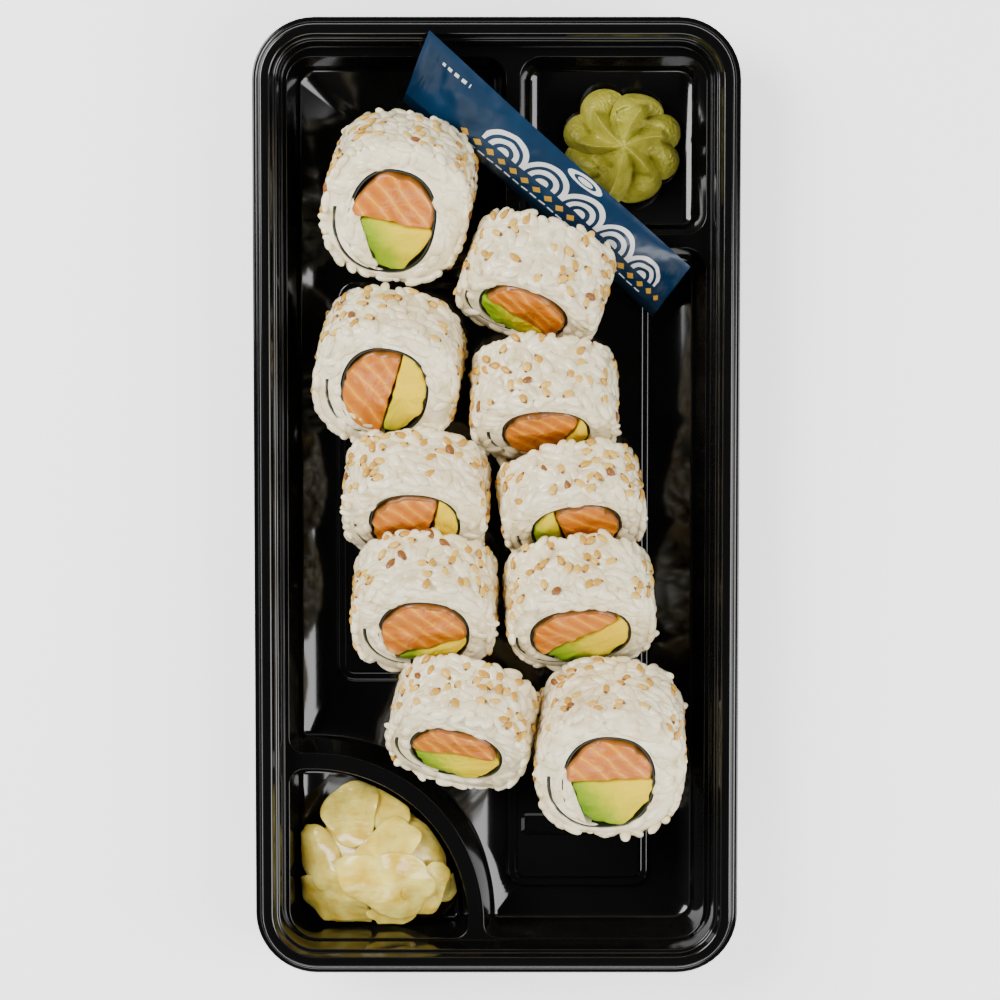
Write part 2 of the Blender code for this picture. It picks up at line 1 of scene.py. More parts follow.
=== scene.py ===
"""Takeaway sushi tray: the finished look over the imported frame, then floor, light and camera.

Metres, +Z up. Sizes are written in millimetres and scaled when a mesh is made. The plans, the
profiles and the rolls' places are those of the part.
"""

import math
import random

import bmesh
import bpy
from mathutils import Matrix, Vector, noise


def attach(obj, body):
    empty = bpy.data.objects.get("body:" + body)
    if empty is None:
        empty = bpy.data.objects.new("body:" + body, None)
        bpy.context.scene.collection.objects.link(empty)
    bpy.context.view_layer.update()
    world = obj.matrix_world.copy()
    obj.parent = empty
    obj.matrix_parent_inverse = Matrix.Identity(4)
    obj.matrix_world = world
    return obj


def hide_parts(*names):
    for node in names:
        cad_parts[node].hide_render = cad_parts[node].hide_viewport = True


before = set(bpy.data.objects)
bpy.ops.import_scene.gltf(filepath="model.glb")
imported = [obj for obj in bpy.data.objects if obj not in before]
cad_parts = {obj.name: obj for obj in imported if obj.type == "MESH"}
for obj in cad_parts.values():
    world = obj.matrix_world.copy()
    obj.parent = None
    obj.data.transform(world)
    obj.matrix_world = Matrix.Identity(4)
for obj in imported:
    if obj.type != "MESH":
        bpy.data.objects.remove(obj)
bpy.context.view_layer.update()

MM = 0.001
GAP = 0.3
SEED = 7

# Tray
TRAY_WIDTH = 115.0
TRAY_LENGTH = 227.0
CORNER_RADIUS = 14.7
SHEET = 0.6
LEDGE_Z = 15.0
WELL_FLOOR_Z = 0.6
PLATFORM_Z = 3.1
GROOVE_Z = 1.6
RIM_PROFILE = [(0.0, 19.4), (0.0, 21.5), (1.2, 21.5), (1.9, 24.0), (4.2, 24.0), (5.0, 22.0),
               (5.8, 22.0), (6.6, LEDGE_Z)]
WELL_PROFILE = [(0.0, LEDGE_Z), (1.7, 2.6), (2.1, 1.2), (2.8, WELL_FLOOR_Z)]
PLATFORM_PROFILE = [(0.0, WELL_FLOOR_Z), (0.6, 2.0), (2.4, 2.0), (3.0, PLATFORM_Z)]
GROOVE_PROFILE = [(0.0, PLATFORM_Z), (0.8, GROOVE_Z)]
MAIN_WELL = [(49.7, -106.4, 7.0), (49.7, 59.4, 5.0), (2.2, 59.4, 5.0), (2.2, 104.5, 5.0),
             (-49.7, 104.5, 6.0), (-49.7, -61.4, 3.5), (-3.0, -61.4, 41.3), (-3.0, -106.4, 3.5)]
WASABI_WELL = [(49.7, 62.6, 5.0), (49.7, 104.5, 6.0), (5.6, 104.5, 5.0), (5.6, 62.6, 6.0)]
GINGER_WELL = [(-6.8, -106.4, 3.5), (-6.8, -65.4, 37.4), (-49.7, -65.4, 3.5), (-49.7, -106.4, 7.0)]
PLATFORM = [(37.4, -96.5, 4.5), (37.4, 52.0, 5.0), (-39.0, 52.0, 5.0), (-39.0, -46.0, 4.5),
            (2.2, -46.0, 3.0), (2.2, -96.5, 4.5)]
GROOVE = [(33.6, -83.4, 1.5), (33.6, -78.0, 1.5), (6.0, -78.0, 1.5), (6.0, -83.4, 1.5)]

# Rolls: x, y, turn, lean, length, half width, half height, hollow, salmon side, salmon reach
ROLLS = {
    "left_1": (-22.9, 71.4, -12, 62, 20.6, 17.5, 18.6, (10.4, 13.6, -0.4, -1.9), 92, 0.3),
    "left_2": (-25.4, 31.2, -10, 56, 20.0, 17.4, 17.8, (10.4, 12.6, 0.0, -0.6), 174, 1.9),
    "left_3": (-19.0, 0.6, -3, 40, 17.4, 17.5, 17.4, (10.8, 12.0, 0.0, -0.4), 172, 4.2),
    "left_4": (-17.0, -24.6, -3, 43, 18.8, 17.4, 18.0, (10.8, 12.2, 0.2, -0.6), 116, 5.0),
    "left_5": (-8.0, -53.0, -14, 36, 17.8, 17.4, 18.0, (11.2, 11.4, 0.0, -0.9), 104, 0.4),
    "right_1": (9.2, 51.6, -19, 27, 19.0, 17.4, 17.2, (10.8, 11.4, -0.5, 0.0), 62, 3.0),
    "right_2": (11.2, 23.6, 0, 29, 19.3, 17.6, 17.2, (10.4, 11.4, 0.4, 0.0), 160, 5.2),
    "right_3": (17.7, -0.6, 8, 33, 16.4, 17.3, 17.0, (10.8, 11.4, 0.3, -0.2), 8, 3.6),
    "right_4": (19.7, -24.4, 4, 37, 18.8, 17.9, 17.4, (12.0, 11.8, -0.4, -0.8), 124, 0.4),
    "right_5": (26.9, -58.8, -3, 60, 24.6, 17.9, 19.2, (11.0, 13.6, -0.2, -1.6), 97, -0.6),
}
ROUNDNESS = 2.6
HOLLOW_ROUNDNESS = 2.3
NORI = 0.5
NORI_START = 236
NORI_TURN = 420
NORI_FLARE = 3.7
FLARE_FROM = 300

# Part of the hollow that rice fills beside the avocado: side in degrees, distance
LOBES = {"left_1": (206, 8.3), "left_2": (236, 9.6), "left_4": (200, 9.4), "right_5": (200, 9.3)}

# The flat sides of a filling as cut by hand, in degrees round it
FILLING_CUTS = {"salmon": (35, 90, 150), "avocado": (215, 270, 330)}
FILLING_CUT_DEPTH = 0.9

# A cooked grain and a sesame seed: half length, half width, half thickness
GRAIN = (2.7, 1.3, 1.0)
GRAIN_SPACING = 2.7
GRAIN_DEPTH = 1.1
CORE_DEPTH = 0.85
SEED_SIZE = (1.62, 0.95, 0.55)
SEEDS_PER_ROLL = 66
SEED_GAP = 1.75
SEED_TRIES = 1500

# The rounded edge between side and cut: how far in it starts and how deep it drops, on the side
# and on the cut, and how far the last grains stay from the ends
EDGE_REACH, EDGE_DROP = 2.6, 1.5
RIM_REACH, RIM_DROP = 3.4, 0.7
END_MARGIN = 1.3

# Wasabi: the ridges' directions in degrees, and how far they turn on the way out
WASABI_AT = (30.0, 83.6)
WASABI_RADIUS = 14.6
WASABI_HEIGHT = 15.5
WASABI_CRESTS = (75, 25, -35, -93, 187, 140)
WASABI_SWIRL = 0.32

# Ginger, and its slices: x, y, half length, half width, turn, lift, bend
GINGER_AT = (-28.6, -89.4)
GINGER_SIZE = (16.4, 13.2, 12.4)
GINGER_SPREAD = (25.0, 20.0)
GINGER_SLICES = [
    (-26.8, -76.4, 6.4, 4.6, -38, 0.9, 0.6),
    (-35.2, -77.0, 7.6, 6.6, 68, 1.4, 0.9),
    (-42.6, -88.4, 9.6, 5.2, -64, 1.0, -0.8),
    (-27.0, -85.0, 9.8, 5.2, 36, 1.9, 0.7),
    (-25.0, -101.4, 6.4, 3.4, 8, 1.3, 0.7),
    (-39.2, -99.4, 10.2, 5.4, -32, 1.2, 0.8),
    (-26.4, -93.2, 12.2, 8.0, -14, 2.8, 0.7),
    (-17.0, -95.4, 7.4, 4.8, 58, 2.0, 0.9),
    (-12.4, -95.6, 4.8, 2.8, 34, 1.1, 0.5),
]
SLICE = 0.8

# Sachet: its two long edges, then its thickness and, as shares of its length, crimp and swell
SACHET_TOP_EDGE = [(-15.6, 110.0, 26.6), (8.8, 87.6, 26.6), (31.2, 67.8, 25.4), (45.6, 55.0, 23.4)]
SACHET_LOW_EDGE = [(-22.2, 94.2, 13.0), (-2.2, 78.2, 16.2), (18.4, 60.6, 17.6), (37.4, 43.0, 7.5)]
SACHET_THICKNESS = 4.4
CRIMP = 0.7
CRIMP_LENGTH = 0.09
SWELL_LENGTH = 0.16
SACHET_LENGTH = 84.0

# The sachet's print and a band of painted shade along its lower edge, in millimetres along and up the
# film
FAN_PITCH = 11.0
FAN_BASE = 7.8
FAN_RINGS = (5.3, 3.2)
FAN_RING = 0.6
GEM_PITCH = 3.4
GEM_UP = 5.6
LINE_UP = 3.4
PAINTED_SHADE_BAND = 2.6


# Materials

def make_material(name, colour, roughness, coat=0.0, subsurface=0.0, scatter=(1.0, 0.6, 0.4)):
    made = bpy.data.materials.new(name)
    made.use_nodes = True
    surface = made.node_tree.nodes["Principled BSDF"]
    surface.inputs["Base Color"].default_value = (*colour, 1.0)
    surface.inputs["Roughness"].default_value = roughness
    surface.inputs["Coat Weight"].default_value = coat
    surface.inputs["Coat Roughness"].default_value = 0.12
    surface.inputs["Subsurface Weight"].default_value = subsurface
    surface.inputs["Subsurface Radius"].default_value = scatter
    surface.inputs["Subsurface Scale"].default_value = 1.5 * MM
    return made


def add_node(made, kind, **values):
    node = made.node_tree.nodes.new(kind)
    for name, value in values.items():
        if name in node.inputs:
            node.inputs[name].default_value = value
        else:
            setattr(node, name, value)
    return node


def join(made, out, into):
    made.node_tree.links.new(out, into)


def noise_at(made, size, detail=3.0, stretch=(1.0, 1.0, 1.0), distortion=0.0):
    """Noise in the piece's own axes; size is the width of its patches in millimetres."""
    place = add_node(made, "ShaderNodeTexCoord")
    squeeze = add_node(made, "ShaderNodeMapping")
    squeeze.inputs["Scale"].default_value = stretch
    join(made, place.outputs["Object"], squeeze.inputs["Vector"])
    texture = add_node(made, "ShaderNodeTexNoise", Scale=1 / (size * MM), Detail=detail,
                       Distortion=distortion)
    join(made, squeeze.outputs["Vector"], texture.inputs["Vector"])
    return texture.outputs["Fac"]


def ramp(made, factor, stops):
    node = add_node(made, "ShaderNodeValToRGB")
    band = node.color_ramp
    while len(band.elements) < len(stops):
        band.elements.new(0.5)
    for element, (spot, colour) in zip(band.elements, stops):
        element.position = spot
        element.color = (*colour, 1.0)
    join(made, factor, node.inputs["Fac"])
    return node.outputs["Color"]


def colour_by(made, factor, stops):
    surface = made.node_tree.nodes["Principled BSDF"]
    join(made, ramp(made, factor, stops), surface.inputs["Base Color"])


def bump(made, factor, depth, strength=1.0):
    node = add_node(made, "ShaderNodeBump", Strength=strength, Distance=depth * MM)
    join(made, factor, node.inputs["Height"])
    join(made, node.outputs["Normal"], made.node_tree.nodes["Principled BSDF"].inputs["Normal"])


def maths(made, operation, *values):
    node = add_node(made, "ShaderNodeMath", operation=operation)
    for socket, value in zip(node.inputs, values):
        if isinstance(value, (int, float)):
            socket.default_value = value
        else:
            join(made, value, socket)
    return node.outputs[0]


def both(made, *masks):
    result = masks[0]
    for mask in masks[1:]:
        result = maths(made, "MULTIPLY", result, mask)
    return result


def either(made, *masks):
    result = masks[0]
    for mask in masks[1:]:
        result = maths(made, "MAXIMUM", result, mask)
    return result


def near(made, value, middle, reach):
    return maths(made, "COMPARE", value, middle, reach)


def mix(made, factor, first, second):
    """Colour first where the factor is 0, second where it is 1; either may be a plain colour."""
    node = add_node(made, "ShaderNodeMix", data_type="RGBA")
    join(made, factor, node.inputs[0])
    for socket, colour in ((node.inputs[6], first), (node.inputs[7], second)):
        if isinstance(colour, tuple):
            socket.default_value = (*colour, 1.0)
        else:
            join(made, colour, socket)
    return node.outputs[2]


def make_tray_plastic():
    made = make_material("tray_plastic", (0.003, 0.003, 0.003), 0.1)
    bump(made, noise_at(made, 22.0, detail=1.0), 0.3, 0.35)
    return made


def make_rice_material():
    made = make_material("rice", (0.95, 0.84, 0.56), 0.24, coat=0.35)
    colour_by(made, noise_at(made, 4.0), [(0.32, (0.74, 0.62, 0.36)), (0.62, (0.97, 0.87, 0.60))])
    bump(made, noise_at(made, 0.8), 0.14, 0.5)
    return made


def make_salmon_material():
    made = make_material("salmon", (0.60, 0.19, 0.004), 0.38, coat=0.15)
    place = add_node(made, "ShaderNodeTexCoord")
    bands = add_node(made, "ShaderNodeTexWave", Scale=0.12 / MM, Distortion=2.4, Detail=2.0)
    bands.inputs["Detail Scale"].default_value = 1.0
    bands.bands_direction = "DIAGONAL"
    join(made, place.outputs["Object"], bands.inputs["Vector"])
    colour_by(made, bands.outputs["Fac"],
              [(0.0, (0.52, 0.13, 0.0)), (0.6, (0.60, 0.175, 0.0)), (0.92, (0.68, 0.22, 0.0)),
               (1.0, (0.76, 0.32, 0.03))])
    bump(made, noise_at(made, 0.8), 0.3, 0.6)
    return made


def make_avocado_material():
    """Yellow inside, green towards the skin at the lower left."""
    made = make_material("avocado", (0.72, 0.48, 0.0), 0.55)
    made.node_tree.nodes["Principled BSDF"].inputs["Specular IOR Level"].default_value = 0.2
    place = add_node(made, "ShaderNodeTexCoord")
    parts = add_node(made, "ShaderNodeSeparateXYZ")
    join(made, place.outputs["Object"], parts.inputs["Vector"])
    across = maths(made, "MULTIPLY_ADD", parts.outputs["X"], 42.0, 0.62)
    ripe = maths(made, "MULTIPLY_ADD", parts.outputs["Z"], 30.0, across)
    patchy = maths(made, "MULTIPLY_ADD", noise_at(made, 4.0), 0.3, ripe)
    colour_by(made, patchy, [(0.22, (0.10, 0.24, 0.0)), (0.45, (0.28, 0.38, 0.0)),
                             (0.68, (0.68, 0.55, 0.0)), (1.0, (0.84, 0.58, 0.0))])
    bump(made, noise_at(made, 1.4), 0.25, 0.5)
    return made


def make_wasabi_material():
    made = make_material("wasabi", (0.42, 0.39, 0.06), 0.42, coat=0.2)
    colour_by(made, noise_at(made, 3.0), [(0.3, (0.35, 0.32, 0.025)), (0.7, (0.50, 0.46, 0.06))])
    bump(made, noise_at(made, 0.6), 0.25, 0.8)
    return made


def make_ginger_material():
    made = make_material("ginger", (0.92, 0.70, 0.12), 0.22, coat=0.4, subsurface=0.2,
                         scatter=(1.0, 0.75, 0.25))
    colour_by(made, noise_at(made, 5.0), [(0.3, (0.70, 0.45, 0.03)), (0.66, (0.97, 0.79, 0.17))])
    bump(made, noise_at(made, 1.2, stretch=(0.25, 1.0, 1.0)), 0.35, 0.7)
    return made


def make_film():
    """The sachet's ink, and painted shade along the film's lower edge. The attribute holds how far
    along and how far up a spot is, in millimetres, and whether it is on the front."""
    made = make_material("film", (0.0, 0.02, 0.06), 0.3, coat=0.15)
    spot = add_node(made, "ShaderNodeAttribute", attribute_name="film_place")
    parts = add_node(made, "ShaderNodeSeparateXYZ")
    join(made, spot.outputs["Vector"], parts.inputs["Vector"])
    along, up, front = parts.outputs

    from_middle = maths(made, "SUBTRACT", maths(made, "MODULO", along, FAN_PITCH), FAN_PITCH / 2)
    over_base = maths(made, "SUBTRACT", up, FAN_BASE)
    reach = maths(made, "SQRT", maths(made, "ADD", maths(made, "POWER", from_middle, 2.0),
                                      maths(made, "POWER", over_base, 2.0)))
    arcs = either(made, near(made, reach, FAN_RINGS[0], FAN_RING),
                  near(made, reach, FAN_RINGS[1], FAN_RING), maths(made, "LESS_THAN", reach, 1.5))
    waves = both(made, arcs, maths(made, "GREATER_THAN", over_base, 0.0),
                 near(made, along, 49.5, 27.5))

    badge_across = maths(made, "DIVIDE", maths(made, "SUBTRACT", along, 44.0), 4.6)
    badge_up = maths(made, "DIVIDE", maths(made, "SUBTRACT", up, 15.2), 1.3)
    badge_reach = maths(made, "SQRT", maths(made, "ADD", maths(made, "POWER", badge_across, 2.0),
                                            maths(made, "POWER", badge_up, 2.0)))
    badge = either(made, near(made, badge_reach, 0.82, 0.18),
                   maths(made, "LESS_THAN", badge_reach, 0.42))
    marks = both(made, near(made, along, 11.0, 3.6), near(made, up, 16.4, 0.45),
                 maths(made, "LESS_THAN", maths(made, "MODULO", along, 1.8), 1.0))
    lines = both(made, near(made, up, LINE_UP, 0.2), near(made, along, 47.0, 28.0),
                 maths(made, "LESS_THAN", maths(made, "MODULO", along, 2.6), 1.8))

    gem_across = maths(made, "ABSOLUTE", maths(made, "SUBTRACT",
                                               maths(made, "MODULO", along, GEM_PITCH), GEM_PITCH / 2))
    gem_up = maths(made, "ABSOLUTE", maths(made, "SUBTRACT", up, GEM_UP))
    gems = both(made, maths(made, "LESS_THAN", maths(made, "ADD", gem_across, gem_up), 1.15),
                near(made, along, 49.0, 32.0))

    ground = ramp(made, noise_at(made, 22.0), [(0.35, (0.0, 0.012, 0.034)),
                                               (0.65, (0.001, 0.026, 0.072))])
    # painted shade: the film darker in a band along its lower edge, on both sides
    ground = mix(made, maths(made, "LESS_THAN", up, PAINTED_SHADE_BAND), ground, (0.0, 0.006, 0.015))
    ground = mix(made, both(made, gems, front), ground, (0.50, 0.27, 0.02))
    whites = both(made, either(made, waves, badge, marks, lines), front)
    ground = mix(made, whites, ground, (0.62, 0.62, 0.60))
    join(made, ground, made.node_tree.nodes["Principled BSDF"].inputs["Base Color"])
    bump(made, noise_at(made, 7.0, detail=2.0), 0.5, 0.5)
    return made


MATERIALS = {
    "tray_plastic": make_tray_plastic(),
    "rice": make_rice_material(),
    "nori": make_material("nori", (0.010, 0.016, 0.009), 0.5),
    "salmon": make_salmon_material(),
    # painted shade: a darker brown for the salmon's rim, where it meets the nori and the avocado
    "salmon_painted_shade": make_material("salmon_painted_shade", (0.30, 0.10, 0.012), 0.35, coat=0.2),
    "avocado": make_avocado_material(),
    "wasabi": make_wasabi_material(),
    "ginger": make_ginger_material(),
    "film": make_film(),
    "seed_pale": make_material("seed_pale", (0.74, 0.46, 0.08), 0.35, coat=0.2),
    "seed_tan": make_material("seed_tan", (0.58, 0.30, 0.025), 0.35, coat=0.2),
    "seed_toasted": make_material("seed_toasted", (0.24, 0.08, 0.008), 0.42, coat=0.1),
    "seed_tip": make_material("seed_tip", (0.16, 0.055, 0.008), 0.5),
}


# Making meshes

def add_piece(name, mesh, materials, place=None, smooth_below=60, replaces=()):
    """A finished piece of a bmesh in millimetres, riding on the one body."""
    bmesh.ops.scale(mesh, vec=(MM, MM, MM), verts=mesh.verts)
    data = bpy.data.meshes.new(name)
    mesh.to_mesh(data)
    mesh.free()
    made = bpy.data.objects.new(name, data)
    bpy.context.scene.collection.objects.link(made)
    finish_piece(made, materials, place, smooth_below, replaces)
    return made


def finish_piece(made, materials, place=None, smooth_below=60, replaces=()):
    for name in materials:
        made.data.materials.append(MATERIALS[name])
    made.data.polygons.foreach_set("use_smooth", [True] * len(made.data.polygons))
    made.data.set_sharp_from_angle(angle=math.radians(smooth_below))
    if place:
        made.matrix_world = place
    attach(made, "root")
    if replaces:
        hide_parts(*replaces)


def applied(made):
    """The mesh of an object with its modifiers."""
    bpy.context.view_layer.update()
    graph = bpy.context.evaluated_depsgraph_get()
    return bpy.data.meshes.new_from_object(made.evaluated_get(graph))


def ring(mesh, points):
    return [mesh.verts.new(point) for point in points]


def bridge(mesh, first, second):
    count = len(first)
    for i in range(count):
        j = (i + 1) % count
        mesh.faces.new((first[i], first[j], second[j], second[i]))


def fan(mesh, loop, point):
    middle = mesh.verts.new(point)
    for i, vert in enumerate(loop):
        mesh.faces.new((vert, loop[(i + 1) % len(loop)], middle))


def fill(mesh, loops):
    edges = []
    for loop in loops:
        for i, vert in enumerate(loop):
            ends = (vert, loop[(i + 1) % len(loop)])
            edges.append(mesh.edges.get(ends) or mesh.edges.new(ends))
    bmesh.ops.triangle_fill(mesh, use_beauty=True, edges=edges)


# Tray

def outline(corners, small_steps=12, large_steps=48):
    points = []
    for i, (x, y, radius) in enumerate(corners):
        here = Vector((x, y))
        before = (Vector(corners[i - 1][:2]) - here).normalized()
        after = (Vector(corners[(i + 1) % len(corners)][:2]) - here).normalized()
        half = before.angle(after) / 2
        centre = here + (before + after).normalized() * radius / math.sin(half)
        start = here + before * radius / math.tan(half) - centre
        end = here + after * radius / math.tan(half) - centre
        turn = start.angle_signed(end)
        steps = small_steps if radius < 20 else large_steps
        for k in range(steps + 1):
            points.append(centre + Matrix.Rotation(-turn * k / steps, 2) @ start)
    return points


def inset(points, distance):
    moved = []
    for i, here in enumerate(points):
        before = (here - points[i - 1]).normalized()
        after = (points[(i + 1) % len(points)] - here).normalized()
        normal = Vector((-before.y - after.y, before.x + after.x)).normalized()
        moved.append(here + normal * distance / normal.dot(Vector((-before.y, before.x))))
    return moved


def softened(profile, radius=0.8, steps=5):
    """A profile with its corners rounded, as the sheet takes them."""
    soft = [profile[0]]
    for before, here, after in zip(profile, profile[1:], profile[2:]):
        a, b, c = Vector(before), Vector(here), Vector(after)
        start = b + (a - b).normalized() * min(radius, (a - b).length * 0.45)
        end = b + (c - b).normalized() * min(radius, (c - b).length * 0.45)
        for k in range(steps + 1):
            t = k / steps
            soft.append(tuple((1 - t) ** 2 * start + 2 * t * (1 - t) * b + t ** 2 * end))
    return soft + [profile[-1]]


def sink(mesh, plan, profile):
    loops = [ring(mesh, [(p.x, p.y, z) for p in inset(plan, step)]) for step, z in profile]
    for upper, lower in zip(loops, loops[1:]):
        bridge(mesh, upper, lower)
    return loops[0], loops[-1]


def well_from(profile, top_radius=0.7):
    """A well's profile with a rounded lip: it starts a little outside its plan."""
    lip = [(-top_radius, LEDGE_Z)] + profile
    return softened(lip, top_radius)


def make_tray():
    mesh = bmesh.new()
    half_x, half_y = TRAY_WIDTH / 2, TRAY_LENGTH / 2
    edge = outline([(half_x, -half_y, CORNER_RADIUS), (half_x, half_y, CORNER_RADIUS),
                    (-half_x, half_y, CORNER_RADIUS), (-half_x, -half_y, CORNER_RADIUS)])
    ledge = sink(mesh, edge, softened(RIM_PROFILE + [(6.9, LEDGE_Z)], 0.45))[1]
    tops = []
    for plan in (MAIN_WELL, WASABI_WELL, GINGER_WELL):
        top, floor = sink(mesh, outline(plan), well_from(WELL_PROFILE, 0.35))
        tops.append(top)
        if plan is not MAIN_WELL:
            fill(mesh, [floor])
            continue
        foot, platform = sink(mesh, outline(PLATFORM), softened(PLATFORM_PROFILE, 0.4, 3))
        fill(mesh, [floor, foot])
        groove_top, groove_floor = sink(mesh, outline(GROOVE), GROOVE_PROFILE)
        fill(mesh, [platform, groove_top])
        fill(mesh, [groove_floor])
    fill(mesh, [ledge] + tops)
    bmesh.ops.recalc_face_normals(mesh, faces=mesh.faces)
    lowest = min(mesh.faces, key=lambda face: face.calc_center_median().z)
    if lowest.normal.z < 0:
        bmesh.ops.reverse_faces(mesh, faces=mesh.faces)
    tray = add_piece("tray_fine", mesh, ["tray_plastic"], smooth_below=50, replaces=["tray"])
    shell = tray.modifiers.new("sheet", "SOLIDIFY")
    shell.thickness = SHEET * MM
    shell.offset = -1
    shell.use_quality_normals = True


# Rolls

def oval(half_width, half_height, angle, power=ROUNDNESS):
    across, up = math.cos(angle), math.sin(angle)
    reach = ((abs(across) / half_width) ** power + (abs(up) / half_height) ** power) ** (-1 / power)
    return reach * across, reach * up


class Roll:
    """One piece of roll. Its own axes: X across, -Y out of the cut face, Z up the face."""

    def __init__(self, name, values):
        (x, y, turn, lean, self.length, self.half_width, self.half_height, self.hollow,
         self.salmon_side, self.salmon_reach) = values
        self.name = name
        self.front, self.back = -self.length / 2, self.length / 2
        tilt = (Matrix.Rotation(math.radians(turn), 4, "Z")
                @ Matrix.Rotation(math.radians(-lean), 4, "X"))
        lowest = min((tilt @ Vector((x_side, self.back, z_side))).z
                     for x_side, z_side in (oval(self.half_width, self.half_height, math.radians(k))
                                            for k in range(180, 360)))
        self.tilt = tilt
        self.spot = Vector((x, y, PLATFORM_Z + GAP - lowest))
        self.place = Matrix.Translation(self.spot * MM) @ tilt

    def hollow_point(self, angle, grow=0.0):
        half_width, half_height, centre_x, centre_z = self.hollow
        x, z = oval(half_width + grow, half_height + grow, angle, HOLLOW_ROUNDNESS)
        return centre_x + x, centre_z + z

    def in_hollow(self, x, z, grow):
        half_width, half_height, centre_x, centre_z = self.hollow
        return (abs((x - centre_x) / (half_width + grow)) ** HOLLOW_ROUNDNESS
                + abs((z - centre_z) / (half_height + grow)) ** HOLLOW_ROUNDNESS) < 1

    def in_section(self, x, z, grow):
        return (abs(x / (self.half_width + grow)) ** ROUNDNESS
                + abs(z / (self.half_height + grow)) ** ROUNDNESS) < 1


def add_blob(mesh, here, along, normal, sizes, detail=2):
    """An ellipsoid with its length along one direction and its thickness along another."""
    along = (along - normal * along.dot(normal)).normalized()
    across = normal.cross(along)
    axes = Matrix((along, across, normal)).transposed()
    place = Matrix.Translation(here) @ axes.to_4x4() @ Matrix.Diagonal((*sizes, 1))
    return bmesh.ops.create_icosphere(mesh, subdivisions=detail, radius=1.0, matrix=place)["verts"]


def random_direction(draw):
    return Vector([draw.gauss(0, 1) for _ in range(3)]).normalized()


def side_frame(roll, angle, y, depth):
    """A point below the outer surface and the outward normal there."""
    x, z = oval(roll.half_width - depth, roll.half_height - depth, angle)
    ahead = Vector(oval(roll.half_width, roll.half_height, angle + 0.02))
    behind = Vector(oval(roll.half_width, roll.half_height, angle - 0.02))
    run = ahead - behind
    return Vector((x, y, z)), Vector((run.y, 0, -run.x)).normalized()


def add_grain(mesh, here, along, normal, size):
    """A cooked grain: blunt at its ends, a little bent."""
    along = (along - normal * along.dot(normal)).normalized()
    across = normal.cross(along)
    half, wide, thick = (size * part for part in GRAIN)
    sides, rows = 10, 6
    loops = []
    for row in range(rows):
        turn = math.pi * (row + 0.5) / rows
        reach = math.sin(turn) ** 0.7
        middle = here - along * half * math.cos(turn) - normal * 0.25 * math.cos(turn) ** 2
        loops.append(ring(mesh, [middle + reach * (across * wide * math.cos(k * math.tau / sides)
                                                   + normal * thick * math.sin(k * math.tau / sides))
                                 for k in range(sides)]))
    for first, second in zip(loops, loops[1:]):
        bridge(mesh, first, second)
    fan(mesh, loops[0], here - along * half - normal * 0.25)
    fan(mesh, loops[-1], here + along * half - normal * 0.25)


def add_side_grains(mesh, roll, draw):
    around = int(math.tau * (roll.half_width + roll.half_height) / 2 / GRAIN_SPACING)
    rows = round(roll.length / GRAIN_SPACING)
    for row in range(rows):
        for k in range(around):
            angle = math.tau * (k + draw.uniform(0, 1)) / around
            y = (roll.front + END_MARGIN
                 + (roll.length - 2 * END_MARGIN) * (row + draw.uniform(0, 1)) / rows)
            end = min(y - roll.front, roll.back - y)
            depth = (GRAIN_DEPTH + draw.uniform(-0.15, 0.25)
                     + EDGE_DROP * max(0.0, 1 - end / EDGE_REACH) ** 2)
            here, normal = side_frame(roll, angle, y, depth)
            normal = (normal + 0.12 * random_direction(draw)).normalized()
            along = random_direction(draw)
            if end < EDGE_REACH:
                along.y = 0.2
            add_grain(mesh, here, along, normal, draw.uniform(0.85, 1.1))


def near_path(path, x, z, distance):
    return any((Vector((x, z)) - point).length < distance for point in path)


def add_face_grains(mesh, roll, draw, side, tail):
    """Grains over a cut; side is -1 for the shown cut and 1 for the back."""
    step = GRAIN_SPACING * 0.86
    reach = int(roll.half_height / step) + 1
    lobe = LOBES.get(roll.name)
    for i in range(-reach, reach + 1):
        for j in range(-reach, reach + 1):
            x, z = (i + draw.uniform(-0.4, 0.4)) * step, (j + draw.uniform(-0.4, 0.4)) * step
            along, size = random_direction(draw), draw.uniform(0.78, 1.0)
            normal = (Vector((0, side, 0)) + 0.16 * random_direction(draw)).normalized()
            hollow = roll.in_hollow(x, z, 0.6)
            if hollow and lobe:
                turn = math.radians(lobe[0])
                hollow = x * math.cos(turn) + z * math.sin(turn) < lobe[1] + 0.6
            if hollow or not roll.in_section(x, z, -1.7) or near_path(tail, x, z, 0.75):
                continue
            if roll.in_hollow(x, z, 2.6):
                centre = Vector((roll.hollow[2], 0, roll.hollow[3]))
                outward = (Vector((x, 0, z)) - centre).normalized()
                along = outward.cross(Vector((0, 1, 0))) + 0.35 * along
            rim = 0.0 if roll.in_section(x, z, -RIM_REACH) else RIM_DROP
            y = side * (roll.length / 2 - GRAIN_DEPTH - draw.uniform(-0.1, 0.3) - rim)
            add_grain(mesh, Vector((x, y, z)), along, normal, size)


def make_core(roll):
    """A smooth ring of rice just below the grains."""
    mesh = bmesh.new()
    sides, rounding = 90, 1.6
    front, back = roll.front + CORE_DEPTH, roll.back - CORE_DEPTH

    def inner(y):
        return ring(mesh, [(x, y, z) for x, z in (roll.hollow_point(k * math.tau / sides)
                                                  for k in range(sides))])

    def outer(y, edge):
        inwards = CORE_DEPTH + edge
        return ring(mesh, [(x, y, z) for x, z in (oval(roll.half_width - inwards,
                                                       roll.half_height - inwards,
                                                       k * math.tau / sides)
                                                  for k in range(sides))])

    loops = [inner(back), outer(back, rounding), outer(back - rounding, 0.0),
             outer(front + rounding, 0.0), outer(front, rounding), inner(front)]
    for first, second in zip(loops, loops[1:] + loops[:1]):
        bridge(mesh, first, second)
    return mesh


